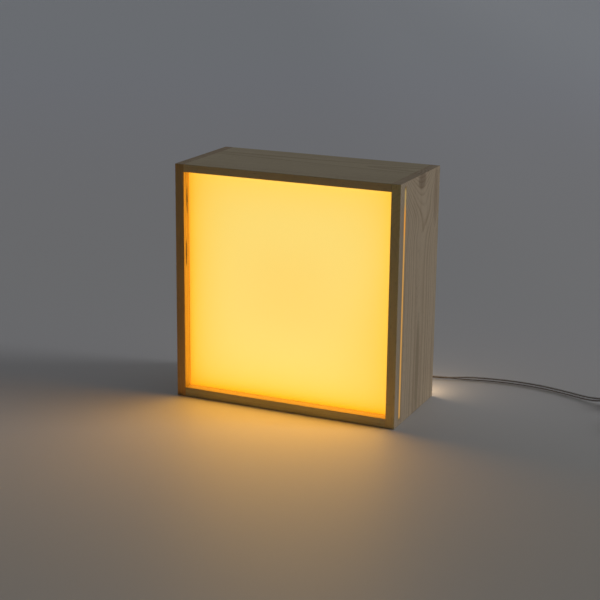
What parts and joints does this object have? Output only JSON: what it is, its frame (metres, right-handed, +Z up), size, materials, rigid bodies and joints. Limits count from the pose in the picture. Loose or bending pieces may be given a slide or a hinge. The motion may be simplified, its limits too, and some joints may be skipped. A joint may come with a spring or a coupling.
{
  "type": "led light box lamp",
  "caption": "Square wooden light box with a glowing opal front panel that slides out sideways, and a clear mains lead with a rocker switch and a two-pin plug.",
  "frame": {"origin": "centre of the case's underside, on the surface it stands on", "axes": "+Z up, -Y out of the glowing front, +X to the right as seen from the front, towards the slotted side and the lead"},
  "size_m": [0.6566, 0.2327, 0.304],
  "materials": {
    "pine": "sanded, thin matt oil",
    "dowel": "plain beech",
    "back": "birch plywood, white on its inner face",
    "opal": "translucent opal acrylic, lit from behind",
    "strip": "white solder mask",
    "chip": "phosphor in a white package",
    "wire": "insulated",
    "driver": "moulded",
    "circuit": "printed circuit board",
    "component": "mixed electronic components",
    "screw": "zinc plated",
    "terminal": "nylon",
    "clamp": "nylon",
    "relief": "flexible plastic",
    "lead": "clear flexible sheath over two stranded cores",
    "core": "stranded copper",
    "tie": "soft band",
    "switch": "moulded",
    "rocker": "moulded",
    "contact": "stamped",
    "plug": "moulded",
    "pin": "nickel plated",
    "sleeve": "moulded"
  },
  "bodies": {
    "lamp": {"left_side_board": "pine", "right_side_board": "pine", "top_board": "pine", "bottom_board": "pine", "corner_dowels": "dowel", "corner_blocks": "pine", "back_panel": "back", "back_panel_screws": "screw", "led_strip_boards": "strip", "led_chips": "chip", "strip_jumper_leads": "wire", "driver_base": "driver", "driver_cover": "driver", "driver_circuit_board": "circuit", "driver_components": "component", "driver_screws": "screw", "driver_input_leads": "wire", "driver_output_leads": "wire", "terminal_block": "terminal", "terminal_screws": "screw", "cord_clamp_base": "clamp", "cord_clamp_bridge": "clamp", "cord_clamp_screws": "screw", "inner_cord_tail": "lead", "inner_cord_cores": "core", "strain_relief": "relief", "power_cord_lamp_side": "lead", "power_cord_coil_side": "lead", "cord_coil": "lead", "power_cord_plug_side": "lead", "coil_tie": "tie", "switch_lower_shell": "switch", "switch_upper_shell": "switch", "rocker_pin": "screw", "switch_contacts": "contact", "switch_inner_cores": "core", "switch_screws": "screw", "plug_body": "plug", "plug_pins": "pin", "plug_pin_sleeves": "sleeve"},
    "sliding_panel": {"diffuser_panel": "opal"},
    "rocker": {"switch_rocker": "rocker"}
  },
  "joints": [
    {"name": "panel_slide", "type": "slide", "parent": "lamp", "child": "sliding_panel", "axis": [1, 0, 0], "range_m": [0, 0.26]},
    {"name": "rocker_hinge", "type": "hinge", "parent": "lamp", "child": "rocker", "pos_m": [0.414, 0.129, 0.0124], "axis": [0, 1, 0], "range_deg": [0, 16]}
  ]
}
